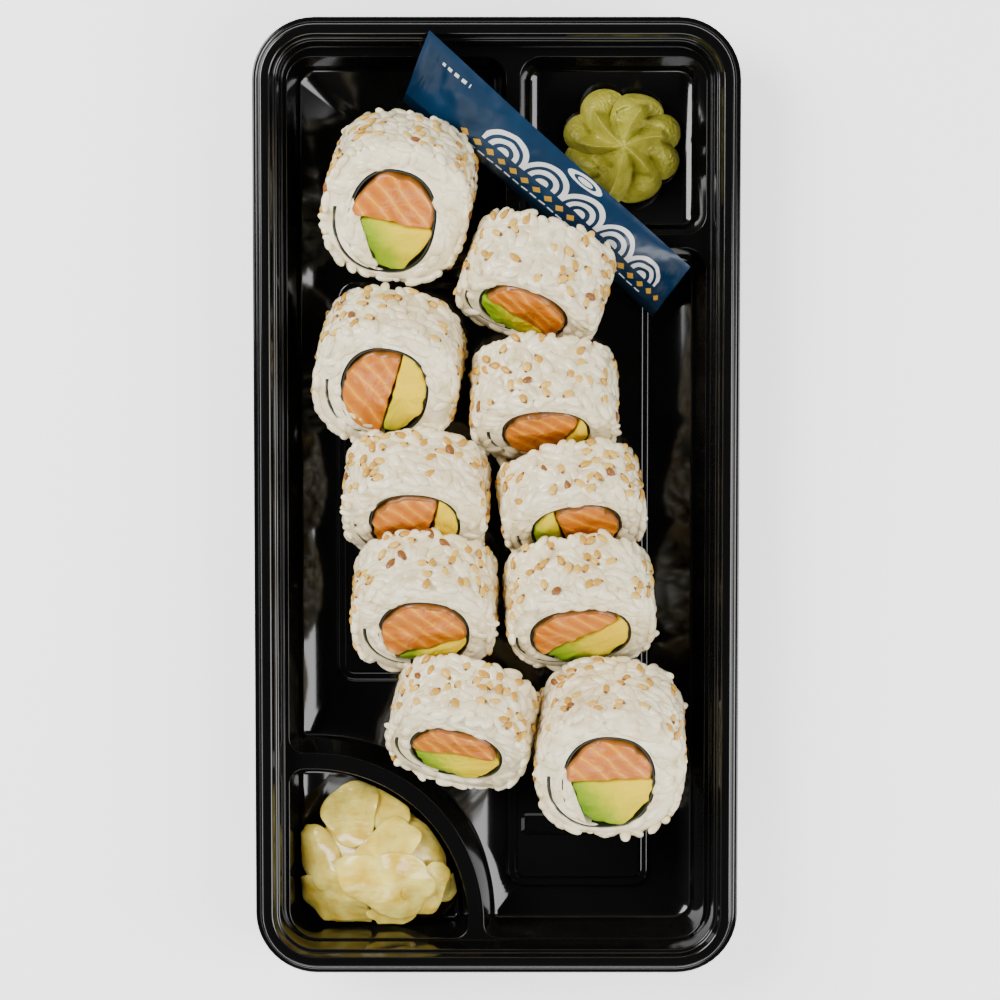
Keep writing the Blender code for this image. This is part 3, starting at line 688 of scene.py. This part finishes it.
def add_lobe(mesh, roll):
    """The rice that fills one side of the hollow."""
    turn = math.radians(LOBES[roll.name][0])
    plan = [Vector(roll.hollow_point(k * math.tau / 90, -GAP)) for k in range(90)]
    plan = clip(plan, Vector((math.cos(turn), math.sin(turn))), LOBES[roll.name][1])
    front = ring(mesh, [(p.x, roll.front + CORE_DEPTH, p.y) for p in plan])
    back = ring(mesh, [(p.x, roll.back - CORE_DEPTH, p.y) for p in plan])
    bridge(mesh, front, back)
    mesh.faces.new(front)
    mesh.faces.new(back)


def nori_path(roll, first_turn, last_turn, step=4):
    path = []
    for turned in range(first_turn, last_turn + 1, step):
        rise = min(max((turned - FLARE_FROM) / (NORI_TURN - FLARE_FROM), 0.0), 1.0)
        flare = NORI_FLARE * rise * rise * (3 - 2 * rise)
        path.append(Vector(roll.hollow_point(math.radians(NORI_START - turned),
                                             -GAP - NORI / 2 + flare)))
    return path


def strip(roll, path, thickness, overrun):
    """A thin sheet along a path, through the roll."""
    mesh = bmesh.new()
    columns = []
    for i, here in enumerate(path):
        before, after = path[max(i - 1, 0)], path[min(i + 1, len(path) - 1)]
        run = (after - before).normalized()
        normal = Vector((-run.y, run.x)) * thickness / 2
        one, two = here + normal, here - normal
        columns.append(ring(mesh, [(one.x, roll.front - overrun, one.y),
                                   (one.x, roll.back + overrun, one.y),
                                   (two.x, roll.back + overrun, two.y),
                                   (two.x, roll.front - overrun, two.y)]))
    for first, second in zip(columns, columns[1:]):
        bridge(mesh, first, second)
    mesh.faces.new(columns[0])
    mesh.faces.new(columns[-1])
    bmesh.ops.recalc_face_normals(mesh, faces=mesh.faces)
    return mesh


def cutter(mesh):
    bmesh.ops.recalc_face_normals(mesh, faces=mesh.faces)
    bmesh.ops.scale(mesh, vec=(MM, MM, MM), verts=mesh.verts)
    data = bpy.data.meshes.new("cutter")
    mesh.to_mesh(data)
    mesh.free()
    made = bpy.data.objects.new("cutter", data)
    bpy.context.scene.collection.objects.link(made)
    return made


def make_rice(roll, draw):
    """Whole grains over a core that the nori's outer end cuts into."""
    tail = nori_path(roll, FLARE_FROM + 40, NORI_TURN)
    core = cutter(make_core(roll))
    slit = cutter(strip(roll, nori_path(roll, FLARE_FROM, NORI_TURN), NORI + GAP, 4.0))
    cut = core.modifiers.new("cut", "BOOLEAN")
    cut.operation = "DIFFERENCE"
    cut.solver = "MANIFOLD"
    cut.object = slit
    result = applied(core)
    mesh = bmesh.new()
    mesh.from_mesh(result)
    bmesh.ops.scale(mesh, vec=(1 / MM, 1 / MM, 1 / MM), verts=mesh.verts)
    bpy.data.meshes.remove(result)
    for made in (core, slit):
        bpy.data.objects.remove(made, do_unlink=True)
    if roll.name in LOBES:
        add_lobe(mesh, roll)
    add_side_grains(mesh, roll, draw)
    add_face_grains(mesh, roll, draw, -1, tail)
    add_face_grains(mesh, roll, draw, 1, tail)
    bmesh.ops.recalc_face_normals(mesh, faces=mesh.faces)
    add_piece("rice_fine_" + roll.name, mesh, ["rice"], roll.place, 75,
              replaces=["rice_" + roll.name])


def clip(points, direction, limit):
    kept = []
    for i, here in enumerate(points):
        ahead = points[(i + 1) % len(points)]
        a, b = here.dot(direction) - limit, ahead.dot(direction) - limit
        if a >= 0:
            kept.append(here)
        if (a > 0) != (b > 0) and a != b:
            kept.append(here.lerp(ahead, a / (a - b)))
    return kept


def evened(points, count):
    """The same closed plan with points at even steps along it."""
    lengths = [(points[(i + 1) % len(points)] - p).length for i, p in enumerate(points)]
    step, total = sum(lengths) / count, 0.0
    even, i = [], 0
    for k in range(count):
        while total + lengths[i] < k * step and i < len(points) - 1:
            total += lengths[i]
            i += 1
        share = (k * step - total) / max(lengths[i], 1e-6)
        even.append(points[i].lerp(points[(i + 1) % len(points)], min(max(share, 0), 1)))
    return even


def rounded(points, passes=6):
    for _ in range(passes):
        points = [(points[i - 1] + 2 * p + points[(i + 1) % len(points)]) / 4
                  for i, p in enumerate(points)]
    return points


def make_filling(roll, name, direction, limit, materials):
    """A strip of filling with a soft edge and an uneven cut; the salmon's edge is darkened as painted
    shade.
    """
    plan = [Vector(roll.hollow_point(k * math.tau / 120, -GAP - NORI + 0.2)) for k in range(120)]
    plan = clip(plan, direction, limit)
    if name == "avocado" and roll.name in LOBES:
        turn = math.radians(LOBES[roll.name][0])
        plan = clip(plan, -Vector((math.cos(turn), math.sin(turn))), -LOBES[roll.name][1])
    for number in range(3):
        turn = math.radians(FILLING_CUTS[name][number] + 9 * math.sin(roll.spot.x + 2 * number))
        facet = Vector((math.cos(turn), math.sin(turn)))
        reach = max(p.dot(facet) for p in plan)
        plan = clip(plan, -facet, FILLING_CUT_DEPTH - reach)
    plan = rounded(evened(plan, 90), 3)
    centre = sum(plan, Vector((0, 0))) / len(plan)
    plan = [p - (p - centre).normalized() * 0.9
            * abs(noise.noise(Vector((p.x * 0.3, p.y * 0.3, roll.spot.y)))) for p in plan]
    mesh = bmesh.new()

    def cut_loop(share, y, side):
        points = []
        for p in plan:
            spot = centre.lerp(p, share)
            relief = (0.8 * noise.noise(Vector((spot.x * 0.22, spot.y * 0.22, roll.spot.x)))
                      + 0.3 * noise.noise(Vector((spot.x * 0.9, spot.y * 0.9, roll.spot.x))))
            points.append((spot.x, y + side * (relief + 0.6 * (1 - share ** 3)), spot.y))
        return ring(mesh, points)

    front, back = roll.front + 0.5, roll.back - 0.5
    shares = (0.12, 0.24, 0.36, 0.48, 0.6, 0.7, 0.8, 0.88, 0.95)
    loops = [cut_loop(share, front, -1) for share in shares]
    loops += [ring(mesh, [(p.x, front + 0.5, p.y) for p in plan]),
              ring(mesh, [(p.x, back - 0.5, p.y) for p in plan])]
    loops += [cut_loop(share, back, 1) for share in reversed(shares)]
    for first, second in zip(loops, loops[1:]):
        bridge(mesh, first, second)
    fan(mesh, loops[0], (centre.x, front - 0.6, centre.y))
    fan(mesh, loops[-1], (centre.x, back + 0.6, centre.y))
    bmesh.ops.recalc_face_normals(mesh, faces=mesh.faces)
    # The last material goes on the rim of the cut: on the salmon it is painted shade.
    edge = len(materials) - 1
    for vert in loops[len(shares)] + loops[len(shares) + 1]:
        for face in vert.link_faces:
            face.material_index = edge
    add_piece(name + "_fine_" + roll.name, mesh, materials, roll.place, 60,
              replaces=[name + "_" + roll.name])


def add_seeds(mesh, roll, draw):
    """Sesame seeds on the outside; each takes one of three colours and has a dark tip."""
    placed = []
    tries = 0
    while len(placed) < SEEDS_PER_ROLL and tries < SEED_TRIES:
        tries += 1
        angle = draw.uniform(-0.8, math.pi + 0.8)
        y = draw.uniform(roll.front + 1.6, roll.back - 1.6)
        here, normal = side_frame(roll, angle, y, 0.45)
        crowd = noise.noise(Vector((here.x * 0.14, y * 0.14, here.z * 0.14 + roll.spot.y)))
        if crowd < draw.uniform(-0.55, 0.25) or any((here - other).length < SEED_GAP
                                                    for other in placed):
            continue
        placed.append(here)
        verts = add_blob(mesh, here, random_direction(draw),
                         (normal + 0.25 * random_direction(draw)).normalized(),
                         [s * draw.uniform(0.88, 1.1) for s in SEED_SIZE])
        kind = draw.choices((0, 1, 2), (0.55, 0.39, 0.06))[0]
        taper_seed(verts, here, kind)
        bmesh.ops.transform(mesh, matrix=Matrix.Translation(roll.spot) @ roll.tilt, verts=verts)


def taper_seed(verts, here, kind):
    """Narrow one end to a point and colour its faces."""
    far = max(verts, key=lambda vert: (vert.co - here).length).co - here
    length, run = far.length, far.normalized()
    for vert in verts:
        share = (vert.co - here).dot(run) / length
        along = here + run * share * length
        narrow = 1 - 0.45 * max(share, 0) ** 1.5
        vert.co = along + (vert.co - along) * narrow
    for face in {face for vert in verts for face in vert.link_faces}:
        share = (face.calc_center_median() - here).dot(run) / length
        face.material_index = 3 if share > 0.62 else kind


def make_rolls():
    seeds = bmesh.new()
    for name, values in ROLLS.items():
        roll = Roll(name, values)
        draw = random.Random(f"{SEED} {roll.name}")
        make_rice(roll, draw)
        nori = strip(roll, nori_path(roll, 0, NORI_TURN), NORI - 0.2, -1.0)
        add_piece("nori_fine_" + roll.name, nori, ["nori"], roll.place, 60,
                  replaces=["nori_" + roll.name])
        side = math.radians(roll.salmon_side)
        direction = Vector((math.cos(side), math.sin(side)))
        middle = Vector(roll.hollow[2:]).dot(direction) - roll.salmon_reach
        make_filling(roll, "salmon", direction, middle + GAP / 4, ["salmon", "salmon_painted_shade"])
        make_filling(roll, "avocado", -direction, -middle + GAP / 4, ["avocado"])
        add_seeds(seeds, roll, draw)
    add_piece("sesame_seeds", seeds, ["seed_pale", "seed_tan", "seed_toasted", "seed_tip"],
              smooth_below=80)


# Wasabi

def wasabi_petal(share, angle):
    """0 in the folds between the eight lobes and 1 along their middles."""
    turned = angle - 0.35 + 0.75 * share + 0.12 * math.sin(2 * angle)
    return abs(math.cos(4 * turned)) ** 0.65


def wasabi_height(share, angle):
    """Six bent ridges run down from the peak over an upper tier; petals lie below it."""
    reach = share * WASABI_RADIUS
    away, nearest = 10.0, 0
    for number, start in enumerate(WASABI_CRESTS):
        bent = math.radians(start) - WASABI_SWIRL * share ** 1.4
        apart = abs((angle - bent + math.pi) % math.tau - math.pi)
        if apart < away:
            away, nearest = apart, number
    across = away * reach
    tier = 0.74 + 0.10 * math.sin(2.3 * nearest + 0.6) - 0.22 * min(across / 6.0, 1.0)
    crest = 15.4 - 5.2 * min(share / 0.8, 1.0) ** 0.9
    valley = crest - min(6.2, 15.0 * share)
    upper = valley + (crest - valley) * math.exp(-(across / (0.75 + 1.5 * share)) ** 1.4)
    petal = wasabi_petal(share, angle)
    lower = 1.8 + 5.0 * (1 - ((share - 0.6) / 0.42) ** 2) * (0.3 + 0.7 * petal)
    blend = 1 / (1 + math.exp(-(tier - share) / 0.018))
    return max(lower, 1.4) * (1 - blend) + upper * blend


def make_wasabi():
    """A piped rosette."""
    mesh = bmesh.new()
    sides, rows = 300, 80
    foot_z = WELL_FLOOR_Z + GAP
    loops = []
    for row in range(rows):
        share = 1 - row / rows
        loop = []
        for k in range(sides):
            angle = k * math.tau / sides
            petal = wasabi_petal(share, angle)
            uneven = 0.03 * math.sin(3 * angle + 1.0) - 0.02 * math.cos(5 * angle)
            radius = WASABI_RADIUS * (0.85 + 0.14 * petal + uneven) * share
            x, y = radius * math.cos(angle), radius * math.sin(angle)
            height = wasabi_height(share, angle)
            grain = (noise.noise(Vector((x, y, height)) * 1.3)
                     + 0.6 * noise.noise(Vector((x, y, height)) * 3.1))
            loop.append((WASABI_AT[0] + x, WASABI_AT[1] + y,
                         foot_z + min(height + 0.22 * grain, WASABI_HEIGHT)))
        loops.append(ring(mesh, loop))
    foot = ring(mesh, [(WASABI_AT[0] + 0.94 * (vert.co.x - WASABI_AT[0]),
                        WASABI_AT[1] + 0.94 * (vert.co.y - WASABI_AT[1]), foot_z)
                       for vert in loops[0]])
    bridge(mesh, foot, loops[0])
    for lower, upper in zip(loops, loops[1:]):
        bridge(mesh, lower, upper)
    fan(mesh, loops[-1], (*WASABI_AT, foot_z + WASABI_HEIGHT))
    mesh.faces.new(foot)
    bmesh.ops.recalc_face_normals(mesh, faces=mesh.faces)
    add_piece("wasabi_fine", mesh, ["wasabi"], smooth_below=80, replaces=["wasabi"])


# Ginger

def mound(x, y):
    reach = math.hypot((x - GINGER_AT[0]) / GINGER_SPREAD[0], (y - GINGER_AT[1]) / GINGER_SPREAD[1])
    return GINGER_SIZE[2] * max(0.12, 1 - reach ** 2)


def inside_ginger_well(x, y, z):
    """Draw a point in from the sloping walls: two straight ones and a quarter circle."""
    right, top, radius = GINGER_WELL[1]
    left, bottom, corner = GINGER_WELL[3]
    slope = WELL_PROFILE[-1][0] / (LEDGE_Z - WELL_FLOOR_Z)
    margin = 2 * GAP + slope * (LEDGE_Z - min(z, LEDGE_Z))
    x, y = max(x, left + margin), max(y, bottom + margin)
    corner_x, corner_y = left + corner - x, bottom + corner - y
    if corner_x > 0 and corner_y > 0:
        pull = min(1.0, max(corner - margin, 0.5) / math.hypot(corner_x, corner_y))
        x, y = left + corner - corner_x * pull, bottom + corner - corner_y * pull
    out_x, out_y = max(x - (right - radius), 0.0), max(y - (top - radius), 0.0)
    reach = math.hypot(out_x, out_y)
    if reach > radius - margin:
        x -= out_x * (1 - (radius - margin) / reach)
        y -= out_y * (1 - (radius - margin) / reach)
    return x, y, z


def add_slice(mesh, values):
    centre_x, centre_y, long, wide, turn, lift, bend = values
    spin = Matrix.Rotation(math.radians(turn), 2)
    floor = WELL_FLOOR_Z + GAP
    sides = 56

    def surface(share, angle):
        ragged = (1 + 0.10 * math.sin(3 * angle + centre_x) + 0.05 * math.sin(5 * angle + centre_y)
                  + 0.06 * noise.noise(Vector((math.cos(angle) * 3, math.sin(angle) * 3, centre_x))))
        u, v = share * long * math.cos(angle) * ragged, share * wide * math.sin(angle) * ragged
        across = spin @ Vector((u, v))
        x, y = centre_x + across.x, centre_y + across.y
        wave = bend * (1.6 * (v / wide) ** 2 - 0.8 * share) + 0.5 * math.sin(0.55 * u + centre_y)
        wave += 1.3 * share * noise.noise(Vector((x * 0.25, y * 0.25, centre_y)))
        return x, y, floor + mound(x, y) + lift + wave

    outer = []
    for offset in (-SLICE / 2, SLICE / 2):
        loops = []
        for share in (0.1, 0.25, 0.4, 0.55, 0.7, 0.82, 0.92, 0.98):
            thin = offset * (1 - 0.6 * share ** 4)
            points = [surface(share, k * math.tau / sides) for k in range(sides)]
            loops.append(ring(mesh, [inside_ginger_well(x, y, max(z + thin, floor + SLICE / 2 + thin))
                                     for x, y, z in points]))
        for first, second in zip(loops, loops[1:]):
            bridge(mesh, first, second)
        x, y, z = surface(0.0, 0.0)
        fan(mesh, loops[0], (x, y, z + offset))
        outer.append(loops[-1])
    middles = [0.5 * (a.co + b.co) for a, b in zip(*outer)]
    edge = ring(mesh, [middle + 0.012 * (middle - Vector((centre_x, centre_y, vert.co.z)))
                       for middle, vert in zip(middles, outer[0])])
    bridge(mesh, outer[0], edge)
    bridge(mesh, edge, outer[1])


def make_ginger():
    mesh = bmesh.new()
    floor = WELL_FLOOR_Z + GAP
    loops = []
    for share in (1.0, 0.86, 0.72, 0.55, 0.38, 0.2):
        points = []
        for k in range(48):
            angle = k * math.tau / 48
            x = GINGER_AT[0] + GINGER_SIZE[0] * share * math.cos(angle)
            y = GINGER_AT[1] + GINGER_SIZE[1] * share * math.sin(angle)
            points.append(inside_ginger_well(x, y, floor + mound(x, y) - 0.3))
        loops.append(ring(mesh, points))
    foot = ring(mesh, [inside_ginger_well(vert.co.x, vert.co.y, floor) for vert in loops[0]])
    bridge(mesh, foot, loops[0])
    for first, second in zip(loops, loops[1:]):
        bridge(mesh, first, second)
    fan(mesh, loops[-1], (*GINGER_AT, floor + GINGER_SIZE[2] - 0.3))
    mesh.faces.new(foot)
    for values in GINGER_SLICES:
        add_slice(mesh, values)
    bmesh.ops.recalc_face_normals(mesh, faces=mesh.faces)
    add_piece("ginger_fine", mesh, ["ginger"], smooth_below=75, replaces=["ginger"])


# Sachet

def edge_point(points, share):
    spot = share * (len(points) - 1)
    i = min(int(spot), len(points) - 2)
    t = spot - i
    p = [Vector(points[min(max(i + k, 0), len(points) - 1)]) for k in (-1, 0, 1, 2)]
    return 0.5 * (2 * p[1] + (p[2] - p[0]) * t + (2 * p[0] - 5 * p[1] + 4 * p[2] - p[3]) * t ** 2
                  + (3 * p[1] - p[0] - 3 * p[2] + p[3]) * t ** 3)


def make_sachet():
    """A pillow pack: crimped flat ends, a soft middle with creases across it."""
    mesh = bmesh.new()
    place = mesh.verts.layers.float_vector.new("film_place")
    rows, cells = 170, 24
    loops = []
    for row in range(rows + 1):
        share = row / rows
        low, top = edge_point(SACHET_LOW_EDGE, share), edge_point(SACHET_TOP_EDGE, share)
        run = edge_point(SACHET_TOP_EDGE, min(share + 0.05, 1)) - edge_point(
            SACHET_TOP_EDGE, max(share - 0.05, 0))
        normal = run.cross(top - low).normalized()
        from_end = min(share, 1 - share)
        swell = min(max((from_end - CRIMP_LENGTH) / SWELL_LENGTH, 0.0), 1.0)
        thick = CRIMP + (SACHET_THICKNESS - CRIMP) * math.sin(swell * math.pi / 2)
        rib = 0.12 * math.sin(share * 560) if from_end < CRIMP_LENGTH * 0.8 else 0.0
        points, spots = [], []
        for k in range(2 * cells):
            across = k / cells if k <= cells else 2 - k / cells
            side = 1 if k <= cells else -1
            crown = 1 - (2 * across - 1) ** 2
            half = CRIMP / 2 * min(1.0, 8 * crown + 0.25) + (thick - CRIMP) / 2 * crown
            crease = crown * (0.7 * (1 - 0.5 * swell)
                              * noise.noise(Vector((share * 9 + across * 2, across * 2.2, 1.5)))
                              + 0.35 * noise.noise(Vector((share * 34, across * 5, 4.0))))
            points.append(low.lerp(top, across) + normal * (half * side + crease + rib * crown))
            spots.append((share * SACHET_LENGTH, across * (top - low).length, max(side, 0)))
        loops.append(ring(mesh, points))
        for vert, spot in zip(loops[-1], spots):
            vert[place] = spot
    for first, second in zip(loops, loops[1:]):
        bridge(mesh, first, second)
    mesh.faces.new(loops[0])
    mesh.faces.new(loops[-1])
    bmesh.ops.recalc_face_normals(mesh, faces=mesh.faces)
    add_piece("sauce_sachet_fine", mesh, ["film"], smooth_below=60,
              replaces=["sauce_sachet"])


# Floor, light and camera

def make_world():
    """A pale studio that is dark straight above, as the plastic's flats show it."""
    world = bpy.data.worlds.new("studio")
    world.use_nodes = True
    way = add_world_node(world, "ShaderNodeTexCoord")
    parts = add_world_node(world, "ShaderNodeSeparateXYZ")
    world.node_tree.links.new(way.outputs["Generated"], parts.inputs["Vector"])
    band = add_world_node(world, "ShaderNodeValToRGB")
    band.color_ramp.elements[0].position = 0.25
    band.color_ramp.elements[0].color = (1.0, 1.0, 1.0, 1.0)
    band.color_ramp.elements[1].position = 0.9
    band.color_ramp.elements[1].color = (0.02, 0.02, 0.02, 1.0)
    world.node_tree.links.new(parts.outputs["Z"], band.inputs["Fac"])
    background = world.node_tree.nodes["Background"]
    world.node_tree.links.new(band.outputs["Color"], background.inputs["Color"])
    background.inputs["Strength"].default_value = 0.6
    bpy.context.scene.world = world


def add_world_node(world, kind):
    return world.node_tree.nodes.new(kind)


def make_stage():
    bpy.ops.mesh.primitive_plane_add(size=6.0, location=(0, 0, -0.0002))
    floor = bpy.context.object
    floor.name = "floor"
    white = bpy.data.materials.new("floor")
    white.use_nodes = True
    surface = white.node_tree.nodes["Principled BSDF"]
    surface.inputs["Base Color"].default_value = (0.9, 0.9, 0.9, 1.0)
    surface.inputs["Roughness"].default_value = 0.7
    surface.inputs["Emission Color"].default_value = (1.0, 1.0, 1.0, 1.0)
    surface.inputs["Emission Strength"].default_value = 1.2
    floor.data.materials.append(white)
    make_world()
    for name, spot, size, power in (("key", (-0.62, 0.35, 0.75), (0.5, 0.7), 17.0),
                                    ("fill", (0.68, -0.15, 0.7), (0.4, 0.8), 10.0),
                                    ("front", (0.0, -0.85, 0.6), (0.8, 0.4), 6.0)):
        light = bpy.data.lights.new(name, "AREA")
        light.shape = "RECTANGLE"
        light.size, light.size_y = size
        light.energy = power
        lamp = bpy.data.objects.new(name, light)
        bpy.context.scene.collection.objects.link(lamp)
        lamp.location = spot
        lamp.rotation_euler = (Vector((0, 0, 0.02)) - Vector(spot)).to_track_quat("-Z", "Y").to_euler()


def make_camera():
    """Nearly overhead, leaning a little to the wasabi end as the photo does."""
    distance, lean = 0.8, math.radians(4.0)
    target = Vector((0.0008, -0.0001, 0.022))
    camera = bpy.data.objects.new("camera", bpy.data.cameras.new("camera"))
    bpy.context.scene.collection.objects.link(camera)
    camera.location = target + distance * Vector((0, math.sin(lean), math.cos(lean)))
    camera.rotation_euler = (-lean, 0, 0)
    camera.data.lens = 121.7
    camera.data.sensor_width = 36.0
    bpy.context.scene.camera = camera


make_tray()
make_rolls()
make_wasabi()
make_ginger()
make_sachet()
make_stage()
make_camera()
